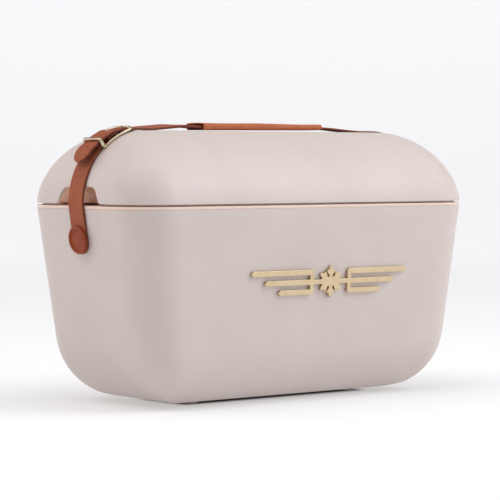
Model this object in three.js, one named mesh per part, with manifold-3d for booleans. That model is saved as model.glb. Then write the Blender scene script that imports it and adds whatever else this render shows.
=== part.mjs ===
// A portable retro cooler chest: a double-walled tapered tub, a domed lift-off lid and a buckled leather strap.
// Millimetres, +Z up. The origin is the middle of the footprint, on the surface that the feet stand on.
// +X runs along the length, towards the end without the buckle. -Y is the front, with the ornament.
import * as THREE from "three";
import { mergeVertices } from "three/addons/utils/BufferGeometryUtils.js";
import Module from "manifold-3d";

const wasm = await Module();
wasm.setup();

// ---- driving dimensions ----
const clearance = 0.3; // between pieces that touch

const body = {
  halfLength: 215, // at the rim
  halfDepth: 98.8,
  rim: 192.4, // middle of the gap under the lid
  floor: 3, // underside of the shell, above the feet
  endTaper: 0.152, // inward run of the end walls for each millimetre down
  sideTaper: 0.062,
  endFillet: 73.3, // between the end walls and the bottom
  sideFillet: 54.6,
  cornerTop: 44.9, // plan radius of the corners at the rim
  cornerBottom: 35,
};
const dome = {
  height: 70.1,
  endRadius: 66, // how far the ends round inwards
  sideRadius: 66.3,
  endPower: 2,
  sidePower: 1.6,
  cornerLoss: 0.175, // plan radius lost for each millimetre rounded in
};
const rimGap = 1.8;
const shellWall = 3;
const linerWall = 2.5;
const linerInset = 15.8; // from the outside of the body to the outside of the liner
const flangeThick = 3;
const plug = { play: 2, bottom: 176, grooveLow: 183.7, grooveHigh: 188.3, grooveDeep: 1 };
const lidPlate = { low: 193.8, high: 196 };
const notch = { halfWidth: 34, halfTop: 22, height: 17.5, shoulder: 10, back: 197, hoodWall: 2 };
const foot = { x: 100, y: 23, radius: 8, height: 2.7 };
const knob = { height: 160, head: 13.5, headThick: 3.4, shank: 4, standoff: 3.3, bore: 1.8, boreDeep: 2 };
const backPlate = { radius: 12, thick: 2, hole: 1.9 };
const screw = { shank: 1.5, head: 4, headThick: 2.2 };
const strap = {
  halfWidth: 11.5,
  thick: 2.5,
  loopThick: 0.8, // pared down where it folds round the buckle's bar
  gap: 0.5, // under the leather where it lies on the chest
  endBelowKnob: 14,
  topLift: 3.3, // middle of the leather above the lid's top
  hingeX: 150.3,
};
const buckle = {
  bar: 130, // distances along the strap's path, from 20 mm below the knob
  halfLength: 16.5,
  barLift: 2.6,
  barRadius: 1,
  railInner: 12.3,
  railOuter: 15.5,
  railLow: 0.8,
  railHigh: 4.4,
  endThick: 2.4,
  endWide: 2.6,
  archChamfer: 2.6,
  underLow: 9.2, // underside of the end bar over the doubled strap
  underHigh: 3.3, // underside of the other one
};
const prong = { halfWidth: 1.5, thick: 1.4, tip: 17.8, stem: 1.1 };
const tailTip = 89.5;
const grip = { halfLength: 76, centreX: 1, halfWidth: 14.5, low: 262.9, high: 270.9, wall: 1.2, corner: 3 };
const ornament = {
  x: 16,
  z: 117,
  thick: 3,
  halfLength: 100,
  armLength: 15.5,
  stroke: 4.4,
  wingStart: 24, // where the wings' uprights stand
  wingPitch: 9.5, // between a wing's bars
  wingStep: 17, // each bar down is this much shorter
};

const flangeTop = body.rim - rimGap / 2;
const lidBottom = body.rim + rimGap / 2;
const shellTop = flangeTop - flangeThick - clearance;
const lidTop = body.rim + dome.height;
const knobAt = 20; // distance of the knob's centre along the strap's path

// ---- materials ----
const finish = (color, roughness, metalness = 0) => new THREE.MeshStandardMaterial({ color, roughness, metalness });
const shellPlastic = finish(0xd7cdcc, 0.5);
const linerPlastic = finish(0xeccbb8, 0.45);
const foam = finish(0xf2f0ea, 0.9);
const rubber = finish(0x4a4543, 0.8);
const leather = finish(0x9b5d46, 0.55);
const gripLeather = finish(0xb4674b, 0.55);
const gold = finish(0xdcc9a4, 0.3, 1);
const steel = finish(0xb9b9bc, 0.35, 1);

// ---- solids ----
// A closed geometry as a solid that can be joined and cut.
function solid(geometry) {
  const bare = new THREE.BufferGeometry();
  bare.setAttribute("position", geometry.getAttribute("position"));
  if (geometry.index) bare.setIndex(geometry.index);
  const merged = mergeVertices(bare, 1e-4);
  const triVerts = new Uint32Array(merged.index.array);
  const vertProperties = new Float32Array(merged.attributes.position.array);
  return new wasm.Manifold(new wasm.Mesh({ numProp: 3, vertProperties, triVerts }));
}

function geometryOf(manifold) {
  const mesh = manifold.getMesh();
  const geometry = new THREE.BufferGeometry();
  geometry.setAttribute("position", new THREE.BufferAttribute(new Float32Array(mesh.vertProperties), 3));
  geometry.setIndex(new THREE.BufferAttribute(new Uint32Array(mesh.triVerts), 1));
  geometry.computeVertexNormals();
  return geometry;
}

// A solid through rings of points that all turn the same way; the first and last rings are capped.
function loft(rings) {
  const count = rings[0].length;
  const index = [];
  for (let ring = 0; ring < rings.length - 1; ring++) {
    for (let i = 0; i < count; i++) {
      const a = ring * count + i;
      const b = ring * count + ((i + 1) % count);
      index.push(a, b, b + count, a, b + count, a + count);
    }
  }
  const last = (rings.length - 1) * count;
  for (let i = 1; i < count - 1; i++) {
    index.push(0, i + 1, i);
    index.push(last, last + i, last + i + 1);
  }
  const geometry = new THREE.BufferGeometry();
  geometry.setAttribute("position", new THREE.Float32BufferAttribute(rings.flat(2), 3));
  geometry.setIndex(index);
  return geometry;
}

// A rectangle with rounded corners at height z, counter-clockwise.
function roundedRing(halfX, halfY, radius, z) {
  const cornerSteps = 6;
  const r = Math.min(radius, halfX - 1, halfY - 1);
  const points = [];
  for (let corner = 0; corner < 4; corner++) {
    const signX = corner === 0 || corner === 3 ? 1 : -1;
    const signY = corner < 2 ? 1 : -1;
    for (let step = 0; step <= cornerSteps; step++) {
      const angle = ((corner + step / cornerSteps) * Math.PI) / 2;
      points.push([signX * (halfX - r) + r * Math.cos(angle), signY * (halfY - r) + r * Math.sin(angle), z]);
    }
  }
  return points;
}

// Half size of the tub at height z: a straight tapered wall that runs into a round bottom edge.
function tubHalf(z, half, taper, fillet, inset) {
  const lean = Math.atan(taper);
  const radius = fillet - inset;
  const bottom = body.floor + inset;
  const arcTop = bottom + radius * (1 - Math.sin(lean));
  const wall = half - inset - (body.rim - z) * taper;
  if (z >= arcTop) return wall;
  const centre = half - inset - (body.rim - arcTop) * taper - radius * Math.cos(lean);
  const rise = 1 - (z - bottom) / radius;
  return centre + radius * Math.sqrt(Math.max(0, 1 - rise * rise));
}

function tubRing(z, inset) {
  const halfX = tubHalf(z, body.halfLength, body.endTaper, body.endFillet, inset);
  const halfY = tubHalf(z, body.halfDepth, body.sideTaper, body.sideFillet, inset);
  const wallX = body.halfLength - inset - (body.rim - z) * body.endTaper;
  const wallY = body.halfDepth - inset - (body.rim - z) * body.sideTaper;
  const corner = body.cornerBottom + ((body.cornerTop - body.cornerBottom) * z) / body.rim - inset * 0.8;
  return roundedRing(halfX, halfY, Math.max(3, corner - 0.5 * (wallX - halfX + wallY - halfY)), z);
}

// The tub's shape, inset from the outside, from its own bottom up to a height.
function tubSolid(inset, top) {
  const bottom = body.floor + inset;
  const filletHeight = body.endFillet - inset;
  const filletSteps = 8;
  const rings = [];
  for (let step = 0; step <= filletSteps; step++) {
    rings.push(tubRing(bottom + filletHeight * (1 - Math.cos((step / filletSteps) * 0.5 * Math.PI)), inset));
  }
  rings.push(tubRing(top, inset));
  return solid(loft(rings));
}

// A slice of the tub's straight upper walls.
const tubSlice = (inset, low, high) => solid(loft([tubRing(low, inset), tubRing(high, inset)]));

// Fraction of a quarter superellipse's width that is left at a fraction of its height.
const domeLeft = (rise, power) => (1 - Math.min(1, rise) ** power) ** (1 / power);

function domeRing(z, inset) {
  const rise = Math.max(0, z - body.rim) / (dome.height - inset);
  const endIn = (dome.endRadius - inset) * (1 - domeLeft(rise, dome.endPower));
  const sideIn = (dome.sideRadius - inset) * (1 - domeLeft(rise, dome.sidePower));
  const corner = body.cornerTop - inset * 0.6 - dome.cornerLoss * (endIn + sideIn);
  return roundedRing(body.halfLength - inset - endIn, body.halfDepth - inset - sideIn, corner, z);
}

// The lid's shape, inset from the outside, from a height up to its own top.
function domeSolid(inset, low) {
  const height = dome.height - inset;
  const start = Math.asin(Math.max(0, low - body.rim) / height);
  const steps = 9;
  const rings = low < body.rim ? [domeRing(low, inset)] : [];
  for (let step = 0; step <= steps; step++) {
    const angle = start + (Math.PI / 2 - start) * (step / steps);
    rings.push(domeRing(body.rim + height * Math.sin(angle), inset));
  }
  return solid(loft(rings));
}

// ---- the finger notches in the lid's ends ----
// An arched outline that grows by a margin, carried along X from a start to beyond the lid's end.
function notchSolid(side, margin, start) {
  const half = notch.halfWidth + margin;
  const top = lidBottom + notch.height + margin;
  const low = lidBottom - 5;
  const shoulder = lidBottom + notch.shoulder;
  const shape = new THREE.Shape();
  shape.moveTo(-half, low);
  shape.lineTo(half, low);
  shape.lineTo(half, lidBottom);
  shape.lineTo(half - 4, shoulder);
  shape.quadraticCurveTo(half - 6.5, top, notch.halfTop, top);
  shape.lineTo(-notch.halfTop, top);
  shape.quadraticCurveTo(-half + 6.5, top, -half + 4, shoulder);
  shape.lineTo(-half, lidBottom);
  const length = body.halfLength + 5 - start;
  const geometry = new THREE.ExtrudeGeometry(shape, { depth: length, bevelEnabled: false, curveSegments: 6 });
  const along = new THREE.Matrix4().makeBasis(
    new THREE.Vector3(0, 1, 0),
    new THREE.Vector3(0, 0, 1),
    new THREE.Vector3(1, 0, 0),
  );
  geometry.applyMatrix4(along);
  geometry.translate(side > 0 ? start : -start - length, 0, 0);
  return solid(geometry);
}

const bothNotches = (margin, start) => notchSolid(1, margin, start).add(notchSolid(-1, margin, start));

// ---- the knobs and what fastens them ----
// A frame on the outside of the end wall at the knob, with its Z pointing straight out of the wall.
function knobFrame(side) {
  const frame = new THREE.Group();
  const x = body.halfLength - (body.rim - knob.height) * body.endTaper;
  frame.position.set(side * x, 0, knob.height);
  frame.rotation.y = side * (Math.PI / 2 + Math.atan(body.endTaper));
  frame.updateMatrixWorld(true);
  return frame;
}

// A turned shape about Z from a profile of radius and height.
function turned(profile, segments = 32) {
  const points = profile.map(([radius, height]) => new THREE.Vector2(radius, height));
  return new THREE.LatheGeometry(points, segments).rotateX(Math.PI / 2);
}

const rod = (radius, low, high) => turned([[0, low], [radius, low], [radius, high], [0, high]]);

function knobGeometry() {
  const inner = -shellWall - 0.1;
  const under = knob.standoff;
  const top = under + knob.headThick;
  return turned([
    [0, knob.boreDeep],
    [knob.bore, knob.boreDeep],
    [knob.bore, inner],
    [knob.shank, inner],
    [knob.shank, under],
    [knob.head - 0.8, under],
    [knob.head, under + 1],
    [knob.head, top - 1.2],
    [knob.head - 1.2, top],
    [knob.head - 2.6, top],
    [knob.head - 3.6, top - 0.9],
    [0, top - 0.6],
  ]);
}

function backPlateGeometry() {
  const outer = -shellWall - 0.4;
  const inner = outer - backPlate.thick;
  const { radius, hole } = backPlate;
  return turned([[hole, inner], [radius, inner], [radius, outer], [hole, outer], [hole, inner]]);
}

function screwGeometry() {
  const seat = -shellWall - 0.4 - backPlate.thick - clearance;
  return turned([
    [0, seat - screw.headThick],
    [screw.head, seat - screw.headThick],
    [screw.head, seat],
    [screw.shank, seat],
    [screw.shank, knob.boreDeep - 0.5],
    [0, knob.boreDeep - 0.5],
  ]);
}

// A rod in the wall's own frame at each knob, for the hole or pocket that the knob's parts need.
function knobRods(radius, low, high) {
  const one = (side) => solid(rod(radius, low, high).applyMatrix4(knobFrame(side).matrixWorld));
  return one(1).add(one(-1));
}

// ---- the strap's path ----
// The outline of an end in the middle plane: up the wall, over the lid's shoulder and along its top.
function endPath() {
  const lean = Math.atan(body.endTaper);
  const start = knob.height - knobAt * Math.cos(lean);
  const wall = (z) => new THREE.Vector2(body.halfLength - (body.rim - z) * body.endTaper, z);
  const shoulderX = body.halfLength - dome.endRadius;
  const path = new THREE.CurvePath();
  path.add(new THREE.LineCurve(wall(start), wall(body.rim)));
  path.add(new THREE.EllipseCurve(shoulderX, body.rim, dome.endRadius, dome.height, 0, Math.PI / 2));
  path.add(new THREE.LineCurve(new THREE.Vector2(shoulderX, lidTop), new THREE.Vector2(shoulderX - 40, lidTop)));
  return path;
}
const path = endPath();
const pathLength = path.getLength();

// A point at a distance along the path and a height above it.
function pathPoint(distance, lift) {
  const along = Math.min(1, Math.max(0, distance / pathLength));
  const point = path.getPointAt(along);
  const tangent = path.getTangentAt(along);
  return new THREE.Vector2(point.x + tangent.y * lift, point.y - tangent.x * lift);
}

// Bends a flat geometry (X along the path, Y across, Z above it) onto the left (-1) or right (1) end.
function bend(geometry, side) {
  const bent = mergeVertices(geometry.deleteAttribute("normal").deleteAttribute("uv"), 1e-4);
  const position = bent.getAttribute("position");
  for (let i = 0; i < position.count; i++) {
    const point = pathPoint(position.getX(i), position.getZ(i));
    position.setXYZ(i, side * point.x, position.getY(i), point.y);
  }
  if (side > 0) bent.index.array.reverse();
  return solid(bent);
}

// Smooth steps through [distance, value] pairs.
function eased(pairs) {
  return (distance) => {
    const last = pairs.length - 1;
    if (distance <= pairs[0][0]) return pairs[0][1];
    if (distance >= pairs[last][0]) return pairs[last][1];
    const i = pairs.findIndex(([at]) => at > distance) - 1;
    const [from, low] = pairs[i];
    const [to, high] = pairs[i + 1];
    return THREE.MathUtils.lerp(low, high, THREE.MathUtils.smoothstep(distance, from, to));
  };
}

// A flat strip of leather between two distances, with a round start if it is asked for.
function strip(from, to, lift, thick, roundStart) {
  const half = strap.halfWidth;
  const stations = [];
  const roundSteps = 6;
  for (let step = 0; roundStart && step < roundSteps; step++) {
    stations.push(from + half * (1 - Math.cos((step / roundSteps) * 0.5 * Math.PI)));
  }
  const start = roundStart ? from + half : from;
  const count = Math.ceil((to - start) / 3.5);
  for (let step = 0; step <= count; step++) stations.push(start + ((to - start) * step) / count);
  const halfAt = (distance) => {
    const back = from + half - distance;
    return roundStart && back > 0 ? Math.max(1.2, Math.sqrt(half * half - back * back)) : half;
  };
  const rings = stations.map((distance) => {
    const low = lift(distance) - thick(distance) / 2;
    const high = lift(distance) + thick(distance) / 2;
    const wide = halfAt(distance);
    return [[distance, -wide, low], [distance, -wide, high], [distance, wide, high], [distance, wide, low]];
  });
  return loft(rings.map((ring) => ring.reverse()));
}

// A block on the path, cut into steps along it so that it bends.
function block(from, to, halfWidth, low, high) {
  const geometry = new THREE.BoxGeometry(to - from, 2 * halfWidth, high - low, 6, 1, 1);
  return geometry.translate((from + to) / 2, 0, (low + high) / 2);
}

// An outline of distance and height, carried across the strap.
function across(shape, halfWidth) {
  const geometry = new THREE.ExtrudeGeometry(shape, {
    depth: 2 * halfWidth,
    bevelEnabled: false,
    curveSegments: 16,
  });
  return geometry.rotateX(Math.PI / 2).translate(0, halfWidth, 0);
}

function ringShape(distance, lift, outer, inner) {
  const shape = new THREE.Shape().absarc(distance, lift, outer, 0, 2 * Math.PI);
  shape.holes.push(new THREE.Path().absarc(distance, lift, inner, 0, 2 * Math.PI, true));
  return shape;
}

// ---- the strap ----
const shoulderAt = path.curves[0].getLength() + path.curves[1].getLength();
const hingeAt = shoulderAt - (strap.hingeX - (body.halfLength - dome.endRadius));
const knobHole = (side) => {
  const hole = new THREE.CylinderGeometry(knob.shank + 0.5, knob.shank + 0.5, 12, 32).rotateX(Math.PI / 2);
  const slit = new THREE.BoxGeometry(12, 1.2, 12).translate(6, 0, 0);
  return bend(hole.translate(knobAt, 0, 2), side).add(bend(slit.translate(knobAt, 0, 2), side));
};
const fullThick = () => strap.thick;

function rightStrap() {
  const lying = strap.gap + strap.thick / 2;
  const lift = eased([[buckle.bar, lying], [hingeAt, strap.topLift]]);
  const leg = strip(knobAt - strap.endBelowKnob, hingeAt - clearance, lift, fullThick, true);
  return bend(leg, 1).subtract(knobHole(1));
}

// The short strap: up from the knob, then folded round the buckle's bar.
function leftStrap() {
  const thick = eased([[buckle.bar - 16, strap.thick], [buckle.bar - 9, strap.loopThick]]);
  const lift = (distance) => strap.gap + thick(distance) / 2;
  const leg = bend(strip(knobAt - strap.endBelowKnob, buckle.bar, lift, thick, true), -1);
  const inner = buckle.barRadius + clearance;
  const loop = ringShape(buckle.bar, buckle.barLift, inner + strap.loopThick, inner);
  const slot = block(buckle.bar - 4, buckle.bar + 4, prong.halfWidth + 0.6, -0.5, 6);
  const bore = new THREE.Shape().absarc(buckle.bar, buckle.barLift, inner, 0, 2 * Math.PI);
  const folded = leg.add(bend(across(loop, strap.halfWidth), -1));
  return folded
    .subtract(bend(slot, -1))
    .subtract(bend(across(bore, strap.halfWidth + 1), -1))
    .subtract(knobHole(-1));
}

// The long strap's end: from the hinge line under the first end bar, over the centre bar, under the other one.
function tailStrap() {
  const { bar, halfLength } = buckle;
  const lift = eased([
    [tailTip, 9.3],
    [bar - halfLength - 11, 9.2],
    [bar - halfLength - 3.5, 7.6],
    [bar - halfLength + 3, 7.5],
    [bar, 6.6],
    [bar + 8, 4.6],
    [bar + halfLength - 2.6, 1.8],
    [bar + halfLength + 3, 1.8],
    [hingeAt, strap.topLift],
  ]);
  const hole = block(bar - 7, bar + 3.5, prong.halfWidth + 0.6, 3, 9);
  return bend(strip(tailTip, hingeAt - clearance, lift, fullThick, true), -1).subtract(bend(hole, -1));
}

const topStrap = () => new THREE.BoxGeometry(2 * (strap.hingeX - clearance), 2 * strap.halfWidth, strap.thick)
  .translate(0, 0, lidTop + strap.topLift);

// ---- the buckle ----
// The end bar's staple shape across the strap, from the rails up and over.
function endBar(distance, under) {
  const { railInner, railOuter, railLow, endThick, endWide, archChamfer } = buckle;
  const top = under + endThick;
  const outline = [
    [railOuter, railLow],
    [railOuter, top - archChamfer],
    [railOuter - archChamfer, top],
  ];
  const inside = [
    [railInner - 0.7, under],
    [railInner, under - 0.7],
    [railInner, railLow],
  ];
  const right = [...outline, ...inside];
  const shape = new THREE.Shape();
  shape.moveTo(...right[0]);
  shape.lineTo(...right[1]);
  shape.lineTo(...right[2]);
  shape.lineTo(-right[2][0], right[2][1]);
  shape.lineTo(-right[1][0], right[1][1]);
  shape.lineTo(-right[0][0], right[0][1]);
  shape.lineTo(-right[5][0], right[5][1]);
  shape.lineTo(-right[4][0], right[4][1]);
  shape.lineTo(-right[3][0], right[3][1]);
  shape.lineTo(right[3][0], right[3][1]);
  shape.lineTo(right[4][0], right[4][1]);
  shape.lineTo(right[5][0], right[5][1]);
  const geometry = new THREE.ExtrudeGeometry(shape, { depth: endWide, bevelEnabled: false });
  const alongPath = new THREE.Matrix4().makeBasis(
    new THREE.Vector3(0, 1, 0),
    new THREE.Vector3(0, 0, 1),
    new THREE.Vector3(1, 0, 0),
  );
  return geometry.applyMatrix4(alongPath).translate(distance - endWide / 2, 0, 0);
}

function buckleFrame() {
  const { bar, halfLength, railInner, railOuter, railLow, railHigh } = buckle;
  const { barRadius, barLift, endWide, underLow, underHigh } = buckle;
  const rail = (sign) => {
    const half = (railOuter - railInner) / 2;
    const beam = block(bar - halfLength - endWide / 2, bar + halfLength + endWide / 2, half, railLow, railHigh);
    return beam.translate(0, (sign * (railOuter + railInner)) / 2, 0);
  };
  const bore = new THREE.Shape().absarc(bar, barLift, barRadius + clearance, 0, 2 * Math.PI);
  return bend(rail(1), -1)
    .add(bend(rail(-1), -1))
    .add(bend(endBar(bar - halfLength, underLow), -1))
    .add(bend(endBar(bar + halfLength, underHigh), -1))
    .subtract(bend(across(bore, railOuter + 1), -1));
}

function buckleBar() {
  const pin = new THREE.Shape().absarc(buckle.bar, buckle.barLift, buckle.barRadius, 0, 2 * Math.PI);
  return bend(across(pin, buckle.railOuter - 0.3), -1);
}

function bucklePronged() {
  const { bar, barLift, barRadius } = buckle;
  const inner = barRadius + clearance;
  const eye = ringShape(bar, barLift, inner + 0.8, inner);
  const finger = new THREE.Shape();
  const steps = 6; // the finger bends with the path, down to rest on the end bar
  const low = eased([[bar + prong.stem, 8.05], [bar + 9, 6.25], [bar + prong.tip, 5.85]]);
  const run = prong.tip - prong.stem;
  finger.moveTo(bar - prong.stem, barLift + inner + 0.2);
  finger.lineTo(bar + prong.stem, barLift + inner + 0.2);
  for (let step = 0; step <= steps; step++) {
    const distance = bar + prong.stem + (run * step) / steps;
    finger.lineTo(distance, low(distance));
  }
  for (let step = steps; step >= 0; step--) {
    const distance = bar + prong.stem + (run * step) / steps;
    finger.lineTo(distance, low(distance) + (step === steps ? 0.8 : prong.thick));
  }
  const top = low(bar) + prong.thick;
  finger.lineTo(bar - prong.stem + 0.7, top);
  finger.lineTo(bar - prong.stem, top - 0.7);
  return bend(across(eye, prong.halfWidth), -1).add(bend(across(finger, prong.halfWidth), -1));
}

// ---- the grip ----
// The leather sleeve's section, with the channel that the strap and the filler lie in.
function gripSleeve() {
  const { halfWidth, low, high, corner, wall, halfLength, centreX } = grip;
  const outline = (into, half, bottom, top, radius) => {
    into.moveTo(-half + radius, bottom);
    into.lineTo(half - radius, bottom);
    into.quadraticCurveTo(half, bottom, half, bottom + radius);
    into.lineTo(half, top - radius);
    into.quadraticCurveTo(half, top, half - radius, top);
    into.lineTo(-half + radius, top);
    into.quadraticCurveTo(-half, top, -half, top - radius);
    into.lineTo(-half, bottom + radius);
    into.quadraticCurveTo(-half, bottom, -half + radius, bottom);
    return into;
  };
  const shape = outline(new THREE.Shape(), halfWidth, low, high, corner);
  shape.holes.push(outline(new THREE.Path(), halfWidth - wall, low + wall, high - wall, corner - wall));
  const geometry = new THREE.ExtrudeGeometry(shape, {
    depth: 2 * halfLength,
    bevelEnabled: false,
    curveSegments: 5,
  });
  const alongX = new THREE.Matrix4().makeBasis(
    new THREE.Vector3(0, 1, 0),
    new THREE.Vector3(0, 0, 1),
    new THREE.Vector3(1, 0, 0),
  );
  return geometry.applyMatrix4(alongX).translate(centreX - halfLength, 0, 0);
}

function gripCore() {
  const low = lidTop + strap.topLift + strap.thick / 2 + clearance;
  const high = grip.high - grip.wall - clearance;
  const geometry = new THREE.BoxGeometry(2 * grip.halfLength - 4, 2 * strap.halfWidth - 1, high - low);
  return geometry.translate(grip.centreX, 0, (low + high) / 2);
}

// ---- the front ornament ----
// A bar with pointed ends between two points of the ornament's own plane.
function pointedBar(from, to, wide) {
  const start = new THREE.Vector2(...from);
  const end = new THREE.Vector2(...to);
  const along = end.clone().sub(start).normalize().multiplyScalar(wide / 2);
  const aside = new THREE.Vector2(-along.y, along.x);
  const corners = [
    start.clone(),
    start.clone().add(along).sub(aside),
    end.clone().sub(along).sub(aside),
    end.clone(),
    end.clone().sub(along).add(aside),
    start.clone().add(along).add(aside),
  ];
  const geometry = new THREE.ExtrudeGeometry(new THREE.Shape(corners), {
    depth: ornament.thick,
    bevelEnabled: false,
  });
  return solid(geometry);
}

// A six-armed snow crystal between two wings of three stepped bars.
function ornamentSolid() {
  const { armLength, stroke, halfLength, wingStart, wingPitch, wingStep } = ornament;
  const polar = (radius, angle) => [radius * Math.cos(angle), radius * Math.sin(angle)];
  const bars = [];
  for (let arm = 0; arm < 6; arm++) {
    const angle = ((arm + 0.5) * Math.PI) / 3;
    bars.push([[0, 0], polar(armLength, angle), stroke]);
    for (const turn of [-1, 1]) {
      const root = polar(armLength * 0.42, angle);
      const branch = polar(armLength * 0.44, angle + (turn * Math.PI) / 4);
      bars.push([root, [root[0] + branch[0], root[1] + branch[1]], stroke * 0.7]);
    }
  }
  for (const side of [-1, 1]) {
    bars.push([[0, 0], [side * wingStart, 0], stroke]);
    for (const row of [-1, 0, 1]) {
      const reach = halfLength - wingStep * (1 - row);
      bars.push([[side * (wingStart - 3), row * wingPitch], [side * reach, row * wingPitch], stroke * 1.15]);
    }
    bars.push([[side * wingStart, -wingPitch - 2], [side * wingStart, wingPitch + 2], stroke]);
  }
  return bars.map((bar) => pointedBar(...bar)).reduce((all, one) => all.add(one));
}

function ornamentFrame() {
  const frame = new THREE.Group();
  const wallY = body.halfDepth - (body.rim - ornament.z) * body.sideTaper;
  frame.position.set(ornament.x, -wallY - clearance, ornament.z);
  frame.rotation.x = Math.PI / 2 + Math.atan(body.sideTaper);
  return frame;
}

// ---- the shells ----
function outerShell() {
  const tub = tubSolid(0, shellTop).subtract(tubSolid(shellWall, shellTop + 5));
  return tub.subtract(knobRods(knob.shank + clearance, -shellWall - 3, 3));
}

function bodyInsulation() {
  const outer = tubSolid(shellWall + 0.4, shellTop);
  const hollow = tubSolid(linerInset - 0.4, shellTop + 5);
  const pocket = -shellWall - 0.4 - backPlate.thick - clearance - screw.headThick - 0.5;
  return outer.subtract(hollow).subtract(knobRods(backPlate.radius + 0.5, pocket, 3));
}

function innerLiner() {
  const flange = tubSlice(0, flangeTop - flangeThick, flangeTop);
  const tub = tubSolid(linerInset, flangeTop).add(flange);
  return tub.subtract(tubSolid(linerInset + linerWall, flangeTop + 5));
}

function lidShell() {
  const hollow = domeSolid(shellWall, body.rim - 3);
  return domeSolid(0, lidBottom).subtract(hollow).subtract(bothNotches(0, notch.back));
}

const plugInset = linerInset + linerWall + plug.play;
const plugHollow = plugInset + plug.grooveDeep + linerWall;

// Everything inside the lid's shell, from just below the rim.
const insideLid = () => domeSolid(shellWall + 0.4, body.rim - 3);

function lidLiner() {
  const plate = tubSlice(-20, lidPlate.low, lidPlate.high).intersect(insideLid());
  const hollow = tubSlice(plugHollow, plug.bottom + linerWall, lidPlate.high + 5);
  const groove = tubSlice(plugInset - 2, plug.grooveLow, plug.grooveHigh)
    .subtract(tubSlice(plugInset + plug.grooveDeep, plug.grooveLow - 1, plug.grooveHigh + 1));
  return plate
    .add(tubSlice(plugInset, plug.bottom, lidPlate.low + 0.5))
    .subtract(hollow)
    .subtract(groove)
    .subtract(bothNotches(0, notch.back));
}

// The cup that lines a finger notch: a roof, a back and two cheeks.
function fingerCup(side) {
  return notchSolid(side, notch.hoodWall, notch.back - notch.hoodWall)
    .intersect(insideLid())
    .intersect(tubSlice(-20, lidPlate.high + clearance, lidTop))
    .subtract(notchSolid(side, 0, notch.back));
}

function lidInsulation() {
  const dome = domeSolid(shellWall + 0.4, lidPlate.high + clearance);
  const core = tubSlice(plugHollow + clearance, plug.bottom + linerWall + clearance, lidPlate.high + 1);
  const hoodRoom = notch.hoodWall + clearance;
  return dome.add(core).subtract(bothNotches(hoodRoom, notch.back - hoodRoom));
}

function lidGasket() {
  const low = plug.grooveLow + clearance;
  const high = plug.grooveHigh - clearance;
  const outer = tubSlice(linerInset + linerWall + 0.4, low, high);
  return outer.subtract(tubSlice(plugInset + plug.grooveDeep - clearance, low - 1, high + 1));
}

const footGeometry = () => turned([
  [0, 0],
  [foot.radius - 1, 0],
  [foot.radius, 1],
  [foot.radius, foot.height],
  [0, foot.height],
]);

// ---- assembly ----
const cooler = new THREE.Group();

function piece(name, shape, material, parent = cooler) {
  const geometry = shape.isBufferGeometry ? shape : geometryOf(shape);
  const mesh = new THREE.Mesh(geometry, material);
  mesh.name = name;
  parent.add(mesh);
  return mesh;
}

piece("outer_shell", outerShell(), shellPlastic);
piece("body_insulation", bodyInsulation(), foam);
piece("inner_liner", innerLiner(), linerPlastic);
for (const [row, signY] of [["front", -1], ["rear", 1]]) {
  for (const [end, signX] of [["left", -1], ["right", 1]]) {
    piece(`foot_${row}_${end}`, footGeometry(), rubber).position.set(signX * foot.x, signY * foot.y, 0);
  }
}
const front = ornamentFrame();
cooler.add(front);
piece("front_ornament", ornamentSolid(), gold, front);

for (const [end, side] of [["left", -1], ["right", 1]]) {
  const frame = knobFrame(side);
  cooler.add(frame);
  piece(`knob_${end}`, knobGeometry(), leather, frame);
  piece(`knob_plate_${end}`, backPlateGeometry(), steel, frame);
  piece(`knob_screw_${end}`, screwGeometry(), steel, frame);
}

piece("lid_shell", lidShell(), shellPlastic);
piece("lid_insulation", lidInsulation(), foam);
piece("lid_liner", lidLiner(), linerPlastic);
piece("lid_gasket", lidGasket(), rubber);
piece("finger_cup_left", fingerCup(-1), linerPlastic);
piece("finger_cup_right", fingerCup(1), linerPlastic);

piece("strap_top", topStrap(), leather);
piece("grip_sleeve", gripSleeve(), gripLeather);
piece("grip_core", gripCore(), foam);
piece("strap_left", leftStrap(), leather);
piece("strap_tail", tailStrap(), leather);
piece("strap_right", rightStrap(), leather);
piece("buckle_frame", buckleFrame(), gold);
piece("buckle_bar", buckleBar(), steel);
piece("buckle_prong", bucklePronged(), gold);

export default cooler;
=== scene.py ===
import math

import bmesh
import bpy
import numpy as np
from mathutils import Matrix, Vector


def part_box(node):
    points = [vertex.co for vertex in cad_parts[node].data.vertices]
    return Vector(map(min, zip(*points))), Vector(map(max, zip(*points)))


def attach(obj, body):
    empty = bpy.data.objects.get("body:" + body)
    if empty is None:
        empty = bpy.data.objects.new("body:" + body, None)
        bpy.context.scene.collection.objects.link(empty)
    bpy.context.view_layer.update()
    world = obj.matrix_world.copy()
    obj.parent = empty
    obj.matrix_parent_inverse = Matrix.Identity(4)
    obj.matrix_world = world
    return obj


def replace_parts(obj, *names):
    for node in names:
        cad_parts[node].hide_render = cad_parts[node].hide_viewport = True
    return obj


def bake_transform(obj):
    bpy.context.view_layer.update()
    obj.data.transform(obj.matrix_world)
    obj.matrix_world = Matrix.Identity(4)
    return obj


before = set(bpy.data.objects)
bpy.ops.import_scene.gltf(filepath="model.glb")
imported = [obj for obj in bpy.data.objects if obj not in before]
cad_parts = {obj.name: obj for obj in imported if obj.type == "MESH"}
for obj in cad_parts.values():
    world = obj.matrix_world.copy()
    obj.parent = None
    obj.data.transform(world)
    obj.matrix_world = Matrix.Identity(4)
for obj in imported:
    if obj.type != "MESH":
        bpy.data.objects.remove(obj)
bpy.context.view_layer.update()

millimetre = 0.001


def mmBox(node):  # a CAD node's corners in millimetres
    return [np.array(corner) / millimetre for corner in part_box(node)]


# the lens sees the chest from its left front corner, a little above its middle; degrees, metres and lens mm
view = dict(
    turn=39.44, down=2.45, distance=2.276, height=0.136, lens=164.1, shiftX=-0.0088, shiftY=0.0174,
)


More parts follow.
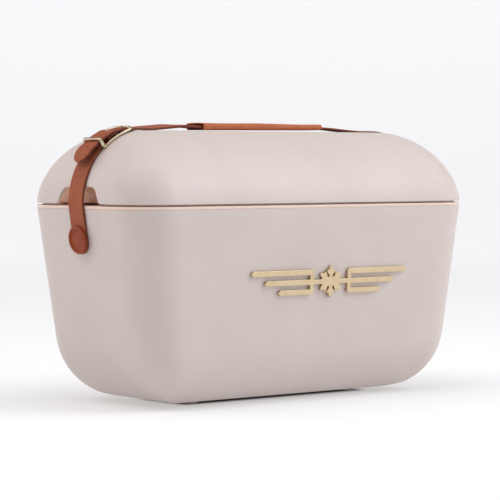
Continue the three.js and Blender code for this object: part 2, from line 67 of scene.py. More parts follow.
def makeCamera():
    turn, down = math.radians(view["turn"]), math.radians(view["down"])
    back = np.array([-math.sin(turn) * math.cos(down), -math.cos(turn) * math.cos(down), math.sin(down)])
    camera = bpy.data.objects.new("camera", bpy.data.cameras.new("camera"))
    camera.location = back * view["distance"] + np.array([0, 0, view["height"]])
    camera.rotation_euler = (math.pi / 2 - down, 0, -turn)
    camera.data.lens = view["lens"]
    camera.data.shift_x = view["shiftX"]
    camera.data.shift_y = view["shiftY"]
    camera.data.clip_end = 50
    bpy.context.scene.collection.objects.link(camera)
    bpy.context.scene.camera = camera


makeCamera()
print("camera placed")


def tone(red, green, blue):  # a display colour from 0 to 255, as the linear colour that the shader wants
    part = np.array([red, green, blue]) / 255
    linear = np.where(part <= 0.04045, part / 12.92, ((part + 0.055) / 1.055) ** 2.4)
    return (*linear.tolist(), 1.0)


class Wire:
    # one output socket; arithmetic on it adds Math nodes to its tree
    def __init__(self, paint, socket):
        self.paint, self.socket = paint, socket

    def math(self, operation, *others):
        return self.paint.node("ShaderNodeMath", {"operation": operation}, dict(enumerate([self, *others])))

    def __add__(self, other):
        return self.math("ADD", other)

    def __sub__(self, other):
        return self.math("SUBTRACT", other)

    def __rsub__(self, other):
        return self.paint.node("ShaderNodeMath", {"operation": "SUBTRACT"}, {0: other, 1: self})

    def __mul__(self, other):
        return self.math("MULTIPLY", other)

    __radd__ = __add__
    __rmul__ = __mul__

    def between(self, low, high):  # 0 below low, 1 above high, smooth in between
        sockets = {"Value": self, "From Min": low, "From Max": high}
        return self.paint.node("ShaderNodeMapRange", {"interpolation_type": "SMOOTHSTEP"}, sockets)


class Paint:
    # a material and the nodes behind its shader
    def __init__(self, name, roughness=0.5, metallic=0.0, **fixed):
        self.material = bpy.data.materials.new(name)
        self.material.use_nodes = True
        self.tree = self.material.node_tree
        self.shader = self.tree.nodes["Principled BSDF"]
        self.shader.inputs["Roughness"].default_value = roughness
        self.shader.inputs["Metallic"].default_value = metallic
        for socket, value in fixed.items():
            self.shader.inputs[socket.replace("_", " ")].default_value = value

    def node(self, kind, settings=None, sockets=None, output=0):
        made = self.tree.nodes.new(kind)
        for key, value in (settings or {}).items():
            setattr(made, key, value)
        for key, value in (sockets or {}).items():
            if isinstance(value, Wire):
                self.tree.links.new(value.socket, made.inputs[key])
            else:
                made.inputs[key].default_value = value
        return Wire(self, made.outputs[output])

    def feed(self, socket, wire):
        self.tree.links.new(wire.socket, self.shader.inputs[socket])

    def place(self, scale=(1, 1, 1), source="Object"):  # Object coordinates, stretched
        where = self.node("ShaderNodeTexCoord", output=source)
        return self.node("ShaderNodeMapping", None, {"Vector": where, "Scale": scale})

    def strip(self, scale=(1, 1, 1)):  # the piece's own map: metres along it and metres across
        return self.place(scale, "UV")

    def axis(self, where, name):
        return self.node("ShaderNodeSeparateXYZ", None, {"Vector": where}, name)

    def noise(self, where, scale, detail=3.0, roughness=0.5):
        sockets = {"Vector": where, "Scale": scale, "Detail": detail, "Roughness": roughness}
        return self.node("ShaderNodeTexNoise", None, sockets)

    def cells(self, where, scale, feature="F1", output="Distance"):
        wires = {"Vector": where, "Scale": scale}
        return self.node("ShaderNodeTexVoronoi", {"feature": feature}, wires, output)

    def mix(self, factor, low, high):  # between the colours in sockets 6 and 7, out of socket 2
        return self.node("ShaderNodeMix", {"data_type": "RGBA"}, {0: factor, 6: low, 7: high}, 2)

    def bump(self, height, distance, strength=1.0):
        sockets = {"Height": height, "Distance": distance, "Strength": strength}
        self.feed("Normal", self.node("ShaderNodeBump", None, sockets))


def mouldedPlastic(name, colour, shade, roughness, grainDepth):
    # spark-eroded mould texture: two sizes of fine grain, with faint clouding in the colour
    paint = Paint(name, roughness, Specular_IOR_Level=0.42)
    where = paint.place()
    cloud = paint.noise(where, 14, 4, 0.6)
    paint.feed("Base Color", paint.mix(cloud.between(0.35, 0.7), colour, shade))
    fine = paint.noise(where, 2600, 2, 0.7)
    coarse = paint.noise(where, 900, 3, 0.6)
    paint.feed("Roughness", (coarse - 0.5) * 0.12 + (cloud - 0.5) * 0.06 + roughness)
    paint.bump(fine * 0.6 + coarse * 0.4, grainDepth)
    return paint.material


def leatherFinish(name, colour, deep, light, edge, halfWidth=0.2, roughness=0.5, gloss=0.25):
    # pebbled hide: cell creases with painted shade in them, soft mottling, and a darker painted edge at the
    # half width, if there is one
    paint = Paint(name, roughness, Specular_IOR_Level=gloss)
    where = paint.strip()
    cloud = paint.noise(where, 60, 5, 0.62)
    streak = paint.noise(paint.strip((25, 220, 1)), 3, 3, 0.6)
    body = paint.mix(cloud.between(0.3, 0.75), colour, light)
    body = paint.mix(streak.between(0.45, 0.8) * 0.5, body, deep)
    creases = paint.cells(where, 1500, "DISTANCE_TO_EDGE")
    pores = paint.noise(where, 4200, 2, 0.6)
    # painted shade: the creases between the pebbles are coloured darker
    body = paint.mix((1 - creases.between(0.0, 0.16)) * 0.3, body, deep)
    outer = paint.axis(where, "Y").math("ABSOLUTE").between(halfWidth - 0.0007, halfWidth - 0.0001)
    body = paint.mix(outer, body, edge)
    paint.feed("Base Color", body)
    paint.feed("Roughness", (cloud - 0.5) * 0.18 + (pores - 0.5) * 0.1 + roughness)
    paint.bump(creases.between(0.0, 0.25) * 0.7 + pores * 0.3 + cloud * 1.2, 0.00012)
    return paint.material


def metalFinish(name, colour, worn, roughness):
    # plated metal: fine polishing lines, faint pitting and a slightly duller film
    paint = Paint(name, roughness, 1.0)
    where = paint.place()
    film = paint.noise(where, 180, 4, 0.6)
    lines = paint.noise(paint.place((260, 2600, 260)), 4, 3, 0.55)
    paint.feed("Base Color", paint.mix(film.between(0.35, 0.75), colour, worn))
    paint.feed("Roughness", (film - 0.5) * 0.2 + (lines - 0.5) * 0.16 + roughness)
    paint.bump(lines * 0.5 + paint.noise(where, 1900, 2, 0.5) * 0.5, 0.00002)
    return paint.material


def rubberFinish(name, colour, dust):
    paint = Paint(name, 0.75)
    where = paint.place()
    paint.feed("Base Color", paint.mix(paint.noise(where, 220, 4).between(0.45, 0.8), colour, dust))
    paint.bump(paint.noise(where, 1800, 3), 0.00008)
    return paint.material


def foamFinish(name, colour, shade):
    # expanded beads pressed together
    paint = Paint(name, 0.85)
    where = paint.place()
    beads = paint.cells(where, 320)
    paint.feed("Base Color", paint.mix(beads.between(0.2, 0.8), colour, shade))
    paint.bump(1 - beads, 0.0004)
    return paint.material


shellPlastic = mouldedPlastic("shell plastic", tone(209, 196, 191), tone(206, 192, 187), 0.46, 0.00003)
linerPlastic = mouldedPlastic("liner plastic", tone(234, 208, 196), tone(230, 202, 190), 0.42, 0.00002)
# the cups' peach is partly the plastic's own colour and partly painted light: it is lighter than the liner's
# to stand for the light the notch catches
cupPlastic = mouldedPlastic("cup plastic", tone(248, 208, 184), tone(242, 200, 176), 0.45, 0.00002)
strapLeather = leatherFinish(
    "strap leather", tone(158, 80, 47), tone(126, 58, 34), tone(172, 92, 57), tone(116, 62, 42), 0.0115,
)
gripLeather = leatherFinish(
    "grip leather", tone(190, 106, 68), tone(156, 78, 48), tone(200, 118, 78), tone(150, 78, 50),
)
knobLeather = leatherFinish(
    "knob leather", tone(144, 58, 27), tone(120, 46, 20), tone(156, 70, 34), tone(120, 50, 26),
    roughness=0.28, gloss=0.22,
)
paleGold = metalFinish("pale gold", tone(208, 192, 168), tone(182, 164, 138), 0.2)
softGold = metalFinish("soft gold", tone(214, 192, 158), tone(206, 183, 148), 0.32)
zincSteel = metalFinish("zinc steel", tone(188, 188, 192), tone(150, 150, 156), 0.35)
blackRubber = rubberFinish("black rubber", tone(52, 48, 46), tone(84, 80, 76))
paleRubber = rubberFinish("pale rubber", tone(206, 196, 190), tone(190, 180, 172))
whiteFoam = foamFinish("white foam", tone(240, 238, 232), tone(222, 220, 214))
# painted shade: the grip filler's near-black brown stands for the shade inside the wrap's open ends
paintedShadeFelt = rubberFinish("dark felt", tone(58, 36, 28), tone(78, 50, 38))
print("finishes made")


def gridMesh(name, grid, uv=None):
    # the grid's points are in millimetres, and each four neighbours make a face
    rows, cols = grid.shape[:2]
    corner = (np.arange(rows - 1)[:, None] * cols + np.arange(cols - 1)).ravel()
    quads = np.stack([corner, corner + 1, corner + cols + 1, corner + cols], 1)
    mesh = bpy.data.meshes.new(name)
    mesh.from_pydata((grid.reshape(-1, 3) * millimetre).tolist(), [], quads.tolist())
    if uv is not None:
        perCorner = (uv.reshape(-1, 2) * millimetre)[quads.ravel()]
        mesh.uv_layers.new(name="map").data.foreach_set("uv", perCorner.ravel().astype(np.float32))
    return mesh


def addPiece(name, grid, material, body=None, uv=None, smoothAngle=40, outward=True):
    # points that meet are welded, so seams and poles are closed
    mesh = gridMesh(name, grid, uv)
    work = bmesh.new()
    work.from_mesh(mesh)
    bmesh.ops.remove_doubles(work, verts=work.verts, dist=2e-6)
    bmesh.ops.dissolve_degenerate(work, edges=work.edges, dist=1e-7)
    if outward:
        bmesh.ops.recalc_face_normals(work, faces=work.faces)
    work.to_mesh(mesh)
    work.free()
    return finishPiece(bpy.data.objects.new(name, mesh), material, body, smoothAngle)


def finishPiece(piece, material, body, smoothAngle):
    bpy.context.scene.collection.objects.link(piece)
    piece.data.materials.clear()
    piece.data.materials.append(material)
    piece.data.shade_smooth()
    piece.data.set_sharp_from_angle(angle=math.radians(smoothAngle))
    if body:
        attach(piece, body)
    return piece


def arc(centre, radius, start, end, count):  # points on a circle in a plane, angles in degrees
    angle = np.radians(np.linspace(start, end, count))
    return np.stack([centre[0] + radius * np.cos(angle), centre[1] + radius * np.sin(angle)], 1)


def wayAlong(points):  # the unit direction of a line at each of its points
    along = np.gradient(points, axis=0)
    return along / np.linalg.norm(along, axis=1)[:, None]


def runLength(points):  # the distance along a line to each of its points
    return np.concatenate([[0], np.cumsum(np.linalg.norm(np.diff(points, axis=0), axis=1))])


# every level of the tub and of the lid is a rectangle with round corners, whose half sizes and corner
# radius follow the height, so one set of columns round the rectangle makes both skins of both parts
tub = dict(
    halfLength=215.0, halfDepth=98.8, rim=192.4, floor=3.0,
    endTaper=0.152, sideTaper=0.062, endFillet=73.3, sideFillet=54.6, cornerTop=44.9, cornerBottom=35.0,
)
dome = dict(height=70.1, endRadius=66.0, sideRadius=66.3, endPower=2.0, sidePower=1.6, cornerLoss=0.175)
wall = dict(shell=3.0, liner=2.5, linerInset=15.8, flange=3.0)
seam = dict(flangeTop=mmBox("inner_liner")[1][2], lidBottom=mmBox("lid_shell")[0][2])
columns = dict(end=97, corner=17, side=41)


def ringColumns():
    # on each straight side and round each corner: which way the corner's centre lies, and the way out
    end = np.linspace(-1, 1, columns["end"])
    side = np.linspace(-1, 1, columns["side"])
    turn = np.radians(np.linspace(0, 90, columns["corner"]))[1:-1]
    parts = []
    for quarter, (straight, sign) in enumerate(((end, 1), (side, 1), (end, -1), (side, -1))):
        one = np.full_like(straight, sign)
        if quarter % 2 == 0:
            parts.append(np.stack([one, straight * sign, one, 0 * one]))
        else:
            parts.append(np.stack([-straight * sign, one, 0 * one, one]))
        angle = turn + quarter * math.pi / 2
        cornerX, cornerY = np.sign(math.cos(angle.mean())), np.sign(math.sin(angle.mean()))
        parts.append(np.stack([cornerX + 0 * angle, cornerY + 0 * angle, np.cos(angle), np.sin(angle)]))
    around = np.concatenate(parts, 1)
    return np.concatenate([around, around[:, :1]], 1)


around = ringColumns()


def ringGrid(halfX, halfY, radius, z):
    # corner centre plus radius times the way out, for every level (rows) and column
    halfX, halfY, radius, z = (np.reshape(v, (-1, 1)) for v in (halfX, halfY, radius, z))
    cx, cy, dx, dy = around
    x = cx * (halfX - radius) + dx * radius
    y = cy * (halfY - radius) + dy * radius
    return np.stack([x, y, z + 0 * x], -1)


def tubHalf(z, half, taper, fillet, inset):
    # straight tapered wall, and below its foot a circle that it touches and that ends flat underneath
    lean = math.atan(taper)
    radius = fillet - inset
    bottom = tub["floor"] + inset
    foot = bottom + radius * (1 - math.sin(lean))
    straight = half - inset - (tub["rim"] - z) * taper
    centre = half - inset - (tub["rim"] - foot) * taper - radius * math.cos(lean)
    rise = np.clip(1 - (z - bottom) / radius, -1, 1)
    return np.where(z >= foot, straight, centre + radius * np.sqrt(1 - rise * rise))


def tubLevels(z, inset):
    halfX = tubHalf(z, tub["halfLength"], tub["endTaper"], tub["endFillet"], inset)
    halfY = tubHalf(z, tub["halfDepth"], tub["sideTaper"], tub["sideFillet"], inset)
    wallX = tub["halfLength"] - inset - (tub["rim"] - z) * tub["endTaper"]
    wallY = tub["halfDepth"] - inset - (tub["rim"] - z) * tub["sideTaper"]
    corner = tub["cornerBottom"] + (tub["cornerTop"] - tub["cornerBottom"]) * z / tub["rim"] - inset * 0.8
    return halfX, halfY, np.maximum(3, corner - 0.5 * (wallX - halfX + wallY - halfY))


def tubRows(rows):  # rows of height and inset
    z, inset = np.array(rows, float).T
    return ringGrid(*tubLevels(z, inset), z)


def capRows(z, inset, count, inwards, levels):
    # a flat end: the outline shrinks evenly until its two long sides meet
    halfX, halfY, radius = (float(v) for v in levels(np.array(z), np.array(inset)))
    share = np.linspace(1, 0, count)[1:] if inwards else np.linspace(0, 1, count)[:-1]
    return ringGrid(halfX - halfY * (1 - share), halfY * share, radius * share, np.full_like(share, z))


def filletHeights(inset, count):  # from the flat underside to the top of the larger bottom curve
    height = tub["endFillet"] - inset
    return tub["floor"] + inset + height * (1 - np.cos(np.linspace(0, math.pi / 2, count)))


def wallRows(inset, top, count=30, straight=14):
    curve = filletHeights(inset, count)
    above = np.linspace(curve[-1], top, straight)[1:]
    return [(z, inset) for z in np.concatenate([curve, above])]


def buildShell():
    top = seam["flangeTop"] - wall["flange"] - 0.1
    edge = 0.3
    outer = wallRows(0, top - edge)
    lip = [(z, edge - x) for x, z in arc((0, top - edge), edge, 0, 90, 5)]
    lipIn = [(z, wall["shell"] - edge + x) for x, z in arc((0, top - edge), edge, 90, 0, 5)]
    inner = wallRows(wall["shell"], top - edge, 16, 6)[::-1]
    floor = tub["floor"]
    grid = np.concatenate([
        capRows(floor, 0, 10, False, tubLevels),
        tubRows(outer + lip + lipIn + inner),
        capRows(floor + wall["shell"], wall["shell"], 6, True, tubLevels),
    ])
    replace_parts(addPiece("tub_shell", grid, shellPlastic, "tub"), "outer_shell")


def buildLiner():
    deep = wall["linerInset"] + wall["liner"]
    top = seam["flangeTop"]
    low = top - wall["flange"]
    soft, mouth = 0.9, 1.6
    rows = wallRows(deep, top - mouth)
    rows += [(z, deep - mouth + x) for x, z in arc((0, top - mouth), mouth, 0, 90, 7)][1:]
    rows += [(top, inset) for inset in np.linspace(deep - mouth, soft, 6)[1:]]
    rows += [(z, soft - x) for x, z in arc((0, top - soft), soft, 90, 0, 6)][1:]
    rows += [(z, 0.35 - x) for x, z in arc((0, low + 0.35), 0.35, 0, -90, 4)]
    rows += [(low, inset) for inset in np.linspace(0.35, wall["linerInset"], 5)[1:]]
    rows += wallRows(wall["linerInset"], low, 16, 6)[::-1][1:]
    grid = np.concatenate([
        capRows(tub["floor"] + deep, deep, 8, False, tubLevels),
        tubRows(rows),
        capRows(tub["floor"] + wall["linerInset"], wall["linerInset"], 6, True, tubLevels),
    ])
    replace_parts(addPiece("tub_liner", grid, linerPlastic, "tub"), "inner_liner")


buildShell()
buildLiner()
print("tub made")

notch = dict(
    halfWidth=34.0, halfTop=18.0, height=16.4, shoulder=8.5, back=197.0, toe=2.0, joinHeight=234.0,
)
cup = dict(power=2.6, wide=0.985, high=0.97, lift=0.3, behind=0.5, thick=1.6)


def domeLevels(z, inset):
    # each half size loses a quarter of a superellipse as the height grows
    height = dome["height"] - inset
    rise = np.clip((z - tub["rim"]) / height, 0, 1)
    left = [(1 - rise ** dome[p]) ** (1 / dome[p]) for p in ("endPower", "sidePower")]
    endIn = (dome["endRadius"] - inset) * (1 - left[0])
    sideIn = (dome["sideRadius"] - inset) * (1 - left[1])
    corner = tub["cornerTop"] - inset * 0.6 - dome["cornerLoss"] * (endIn + sideIn)
    return tub["halfLength"] - inset - endIn, tub["halfDepth"] - inset - sideIn, corner


def evenly(points, count):  # points spaced evenly along a line
    length = runLength(points)
    at = np.linspace(0, length[-1], count)
    return np.stack([np.interp(at, length, points[:, i]) for i in range(2)], 1)


def curve3(a, b, c, count=14):  # a curve from a to c that is pulled towards b
    t = np.linspace(0, 1, count)[:, None]
    return (1 - t) ** 2 * np.array(a) + 2 * t * (1 - t) * np.array(b) + t * t * np.array(c)


def archOutline(reach):
    # half of the notch's edge, from the middle of its top down to the lid's rim and out along it
    low = seam["lidBottom"]
    n = notch
    top, shoulder = low + n["height"], low + n["shoulder"]
    slope = (n["halfWidth"] - 4, shoulder), (n["halfWidth"], low)
    toe = n["halfWidth"] - 0.4 * n["toe"], low + n["toe"]
    return np.concatenate([
        [(0, top), (n["halfTop"], top)],
        curve3((n["halfTop"], top), (n["halfWidth"] - 6.5, top), slope[0]),
        [toe],
        curve3(toe, slope[1], (n["halfWidth"] + n["toe"], low), 6),
        [(reach, low)],
    ])


def lidColumns():
    # for each column: where it starts on the lid's lower edge, and the way up from there
    half, depth, radius = (float(v) for v in domeLevels(np.array(seam["lidBottom"]), np.array(0.0)))
    reach = depth - radius
    outline = evenly(archOutline(reach), (columns["end"] + 1) // 2)
    outline = np.concatenate([outline[:0:-1] * (-1, 1), outline])
    along = wayAlong(outline)
    up = np.stack([-along[:, 1], along[:, 0]], 1)
    startZ = np.full(around.shape[1], seam["lidBottom"])
    upY, upZ = np.zeros_like(startZ), np.ones_like(startZ)
    startY = around[1] * reach
    count = columns["end"]
    left = 2 * (columns["corner"] - 2) + count + columns["side"]
    for first, sign in ((0, 1), (left, -1)):
        at = slice(first, first + count)
        startY[at], startZ[at] = outline[::sign, 0], outline[::sign, 1]
        upY[at], upZ[at] = up[::sign, 0], up[::sign, 1]
    for values in (startY, startZ, upY, upZ):
        values[-1] = values[0]
    return startY, startZ, upY, upZ, reach


def lidRow(offset, share, inset, lid):
    # a row between the lower edge, moved up by an offset, and the join height
    startY, startZ, upY, upZ, reach = lid
    z = (startZ + upZ * offset) * (1 - share) + notch["joinHeight"] * share
    along = (startY + upY * offset) / reach * (1 - share) + around[1] * share
    cy = np.where(around[2] ** 2 > 0.999, np.clip(along, -1, 1), around[1])
    halfX, halfY, radius = domeLevels(z, inset)
    cx, _, dx, dy = around
    return np.stack([cx * (halfX - radius) + dx * radius, cy * (halfY - radius) + dy * radius, z], -1)


def domeRows(inset, count):  # from the join height to the top, then the flat top
    height = dome["height"] - inset
    start = math.asin((notch["joinHeight"] - tub["rim"]) / height)
    z = tub["rim"] + height * np.sin(np.linspace(start, math.pi / 2, count))
    z[-1] = tub["rim"] + height
    side = ringGrid(*domeLevels(z, inset), z)
    return np.concatenate([side[1:], capRows(z[-1], inset, 12, True, domeLevels)])


def buildLid():
    lid = lidColumns()
    edge, thick = 0.5, wall["shell"]
    outer = [lidRow(edge, share, 0, lid) for share in np.linspace(0, 1, 26)]
    round1 = [lidRow(edge - z, 0, edge - x, lid) for x, z in arc((0, 0), edge, 0, 90, 6)]
    round2 = [lidRow(edge - z, 0, thick - edge + x, lid) for x, z in arc((0, 0), edge, 90, 0, 6)]
    inner = [lidRow(edge, share, thick, lid) for share in np.linspace(0, 1, 14)]
    grid = np.concatenate([
        domeRows(0, 44)[::-1],
        np.array(outer[::-1]),
        np.array(round1[1:] + round2),
        np.array(inner[1:]),
        domeRows(thick, 16),
    ])
    piece = addPiece("lid_dome", grid, shellPlastic, "lid")
    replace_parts(piece, "lid_shell")


def buildCup(side):
    # the arch shrinks to nothing over the cup's depth, slowly at first: a concave wall behind the notch
    low = seam["lidBottom"] + cup["lift"]
    half = evenly(archOutline(notch["halfWidth"] + notch["toe"])[:-1], 40)
    half = half[half[:, 1] > low + 0.2]
    arch = (np.concatenate([half[:0:-1] * (-1, 1), half]) - (0, low)) * (cup["wide"], cup["high"])
    depth = np.linspace(0, 1, 24)[:, None]
    shrink = (1 - depth ** cup["power"]) ** (1 / cup["power"])
    y = shrink * arch[:, 0]
    z = low + shrink * arch[:, 1]
    front = domeLevels(low + arch[:, 1], cup["behind"])[0]
    x = front + (notch["back"] - front) * depth
    grid = np.stack([side * x, y, z], -1)
    name = "finger_cup_" + ("right" if side > 0 else "left")
    piece = addPiece(name + "_wall", grid, cupPlastic, "lid", outward=False)
    skin = piece.modifiers.new("skin", "SOLIDIFY")
    skin.thickness = cup["thick"] * millimetre
    skin.offset = side
    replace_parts(piece, name)


plug = dict(
    play=2.0, bottom=176.0, soft=4.0, grooveLow=183.7, grooveHigh=188.3, grooveDeep=1.0,
    plateLow=193.8, plateHigh=196.0, plateInset=0.5, lipGap=0.15, lipAt=2.0, lipThick=2.0,
)


def buildLidLiner():
    # plate and plug in one, with a dust lip that nearly meets the tub; it steps back behind each notch
    outer = wall["shell"] + plug["plateInset"]
    inset = wall["linerInset"] + wall["liner"] + plug["play"]
    deep = inset + plug["grooveDeep"]
    low, high, bottom = plug["plateLow"], plug["plateHigh"], plug["bottom"]
    lip, lipOuter = seam["flangeTop"] + plug["lipGap"], outer + plug["lipAt"]
    lipInner = lipOuter + plug["lipThick"]
    grooveLow, grooveHigh, soft, bend, nick = plug["grooveLow"], plug["grooveHigh"], plug["soft"], 1.2, 0.3
    rows = [(high, outer), (low + 0.4, outer), (low, outer + 0.4)]
    rows += [(low, lipOuter), (lip + nick, lipOuter), (lip, lipOuter + nick)]
    rows += [(lip, lipInner - nick), (lip + nick, lipInner), (low, lipInner), (low, inset - bend)]
    rows += [(z, inset - bend + x) for x, z in arc((0, low - bend), bend, 90, 0, 5)]
    rows += [(grooveHigh + nick, inset), (grooveHigh, inset + nick), (grooveHigh, deep)]
    rows += [(grooveLow, deep), (grooveLow, inset + nick), (grooveLow - nick, inset)]
    rows += [(z, inset + soft - x) for x, z in arc((0, bottom + soft), soft, 0, -90, 10)]
    grid = np.concatenate([
        capRows(high, outer, 8, False, tubLevels),
        tubRows(rows),
        capRows(bottom, inset + soft, 8, True, tubLevels),
    ])
    x, y = np.abs(grid[..., 0]), np.abs(grid[..., 1])
    stepBack = np.clip((notch["halfWidth"] + 1.5 - y) / 1.5, 0, 1) * (grid[..., 2] > low - 2)
    limit = np.where(stepBack > 0, x - stepBack * np.maximum(0, x - notch["back"] + 0.6), x)
    grid[..., 0] = np.sign(grid[..., 0]) * limit
    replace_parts(addPiece("lid_underside", grid, linerPlastic, "lid"), "lid_liner")


def buildGasket():
    # a soft lip seal round the plug
    low, high = plug["grooveLow"] + 0.3, plug["grooveHigh"] - 0.3
    outer = wall["linerInset"] + wall["liner"] + 0.4
    inner = outer + plug["play"] + plug["grooveDeep"] - 0.7
    loop = np.concatenate([
        arc((low + 0.6, inner - 0.6), 0.6, 90, 180, 4),
        arc(((low + high) / 2, outer + 1.0), 1.0, 215, 325, 9),
        arc((high - 0.6, inner - 0.6), 0.6, 0, 90, 4),
    ])
    loop = np.concatenate([loop, loop[:1]])
    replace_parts(addPiece("plug_seal", tubRows(loop), blackRubber, "lid"), "lid_gasket")


buildLid()
for end in (-1, 1):
    buildCup(end)
buildLidLiner()
buildGasket()
print("lid made")

# the strap runs up the end wall, over the lid's shoulder and along its top; places on it are distances
# along that path, which starts 20 mm below the knob, and lifts off it
strap = dict(
    halfWidth=11.5, thick=2.5, soft=0.8, knobAt=20.0, knobHeight=160.0, below=14.0, gap=0.25, bend=11.0,
)


def endPath():
    lean = math.atan(tub["endTaper"])
    start = strap["knobHeight"] - strap["knobAt"] * math.cos(lean)
    z = np.linspace(start, tub["rim"], 60)
    lower = np.stack([tub["halfLength"] - (tub["rim"] - z) * tub["endTaper"], z], 1)
    angle = np.linspace(0, math.pi / 2, 300)
    shoulderX = tub["halfLength"] - dome["endRadius"]
    quarter = np.stack([np.cos(angle), np.sin(angle)], 1)
    over = (shoulderX, tub["rim"]) + quarter * (dome["endRadius"], dome["height"])
    level = np.linspace(shoulderX, -2, 200)
    flat = np.stack([level, np.full_like(level, tub["rim"] + dome["height"])], 1)
    points = np.concatenate([lower, over[1:], flat[1:]])
    length = runLength(points)
    at = np.arange(0, length[-1], 0.5)
    points = np.stack([np.interp(at, length, points[:, i]) for i in range(2)], 1)
    along = wayAlong(points)
    soft = np.hanning(25) / np.hanning(25).sum()
    along = np.stack([np.convolve(np.pad(along[:, i], 12, "edge"), soft, "valid") for i in range(2)], 1)
    return at, points, along


pathAt, pathPoints, pathAlong = endPath()
shoulderAt = float(np.interp(-(tub["halfLength"] - dome["endRadius"]), -pathPoints[:, 0], pathAt))


def onPath(distance, lift, y, side):
    # the point on the path, moved out along the path's normal
    x, z = (np.interp(distance, pathAt, pathPoints[:, i]) for i in range(2))
    ax, az = (np.interp(distance, pathAt, pathAlong[:, i]) for i in range(2))
    size = np.hypot(ax, az)
    return np.stack([side * (x + az / size * lift), y + 0 * x, z - ax / size * lift], -1)


def eased(pairs):  # smooth steps through pairs of distance and value
    at, value = np.array(pairs, float).T

    def read(distance):
        i = np.clip(np.searchsorted(at, distance, "right") - 1, 0, len(at) - 2)
        t = np.clip((distance - at[i]) / (at[i + 1] - at[i]), 0, 1)
        return value[i] + (value[i + 1] - value[i]) * t * t * (3 - 2 * t)
    return read


def bandSection(thick):
    # across the strap: flat faces and round edges
    half, edge = strap["halfWidth"], min(strap["soft"], thick / 2 - 0.01)
    across = np.linspace(-(half - edge), half - edge, 13)
    top = np.stack([across, np.full(13, thick / 2)], 1)
    right = arc((half - edge, thick / 2 - edge), edge, 90, 0, 5)[1:]
    right2 = arc((half - edge, -thick / 2 + edge), edge, 0, -90, 5)[:-1]
    low = np.stack([across[::-1], np.full(13, -thick / 2)], 1)
    left = arc((-(half - edge), -thick / 2 + edge), edge, 270, 180, 5)[1:]
    left2 = arc((-(half - edge), thick / 2 - edge), edge, 180, 90, 5)[:-1]
    loop = np.concatenate([top, right, right2, low, left, left2])
    return np.concatenate([loop, loop[:1]])


def bandGrid(centre, normal, sideways, half, thick, roll):
    # the section carried along a centre line; a round end is a half width that falls to nothing
    length = runLength(centre)
    grid, uv = [], []
    for i in range(len(centre)):
        section = bandSection(thick[i])
        v = section[:, :1] * half[i] / strap["halfWidth"]
        w = section[:, 1:] * min(1.0, half[i] / 1.5) ** 0.5
        across = sideways * math.cos(roll[i]) + normal[i] * math.sin(roll[i])
        out = normal[i] * math.cos(roll[i]) - sideways * math.sin(roll[i])
        grid.append(centre[i] + across * v + out * w)
        uv.append(np.stack([np.full(len(section), length[i]), section[:, 0]], 1))
    return np.array(grid), np.array(uv)


def roundEnd(distance, start, half):  # the half width near a round tip: a circle, then the full width
    back = start + half - distance
    return np.where(back > 0, np.sqrt(np.maximum(half * half - back * back, 1e-6)), half)


def stationsFrom(start, stop, half):  # closely spaced round the tip, then every 1.5 mm
    step = 1.5
    tip = start + half * (1 - np.cos(np.linspace(0, math.pi / 2, 18)))
    return np.concatenate([tip, np.arange(start + half + step, stop, step), [stop]])


def strapAlong(name, distance, lift, half, thick, side, roll=None, body=None):
    centre = onPath(distance, lift, 0.0, side)
    sideways = np.array([0.0, 1.0, 0.0])
    normal = -side * np.cross(wayAlong(centre), sideways)
    roll = np.zeros(len(centre)) if roll is None else roll
    grid, uv = bandGrid(centre, normal, sideways, half, thick, roll)
    return addPiece(name, grid, strapLeather, body, uv)


def bendAtHinge(piece):  # bakes the piece's placement into its points
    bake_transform(piece)


buckle = dict(
    bar=130.0, half=16.5, barLift=2.6, barRadius=1.0, eye=1.55, railAt=13.9, archLow=10.4, archHigh=4.5,
)
tailTip = 89.5


def buildLongStrapLeft():
    # tip, under the lower end bar, over the centre bar, under the upper end bar, then level into the grip
    bar, half = buckle["bar"], buckle["half"]
    top = shoulderAt
    lift = eased([
        (tailTip, 9.3), (bar - half - 11, 9.2), (bar - half - 3, 7.6), (bar - half + 3, 7.3), (bar - 1, 6.4),
        (bar + 8, 4.4), (bar + half - 2.4, 1.8), (bar + half + 3, 1.8),
        (top + 2, 1.95), (top + 52, 4.9), (top + 78, 3.9), (top + 95, 3.3),
    ])
    roll = eased([(bar + half + 1, 0.0), (top + 16, 0.1), (top + 38, 0.09), (top + 60, 0.0)])
    distance = stationsFrom(tailTip, shoulderAt + 145, strap["halfWidth"])
    half = roundEnd(distance, tailTip, strap["halfWidth"])
    thick = np.full_like(distance, strap["thick"])
    piece = strapAlong("long_strap_left", distance, lift(distance), half, thick, -1, roll(distance))
    bendAtHinge(piece)
    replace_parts(piece, "strap_tail", "strap_top")


def buildLongStrapRight():
    # out of the grip, down onto the lid, over the right shoulder and down to its knob
    lying = strap["gap"] + strap["thick"] / 2
    top = shoulderAt
    lift = eased([
        (0, lying), (top - 40, lying), (top - 10, 0.95), (top + 12, 0.95),
        (top + 76, 4.4), (top + 110, 3.6), (top + 147, 3.4),
    ])
    thin = eased([(top - 40, strap["thick"]), (top - 10, 1.7), (top + 60, 1.8)])
    start = strap["knobAt"] - strap["below"]
    distance = stationsFrom(start, top + 147, strap["halfWidth"])
    half = roundEnd(distance, start, strap["halfWidth"])
    piece = strapAlong("long_strap_right", distance, lift(distance), half, thin(distance), 1)
    bendAtHinge(piece)
    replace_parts(piece, "strap_right")


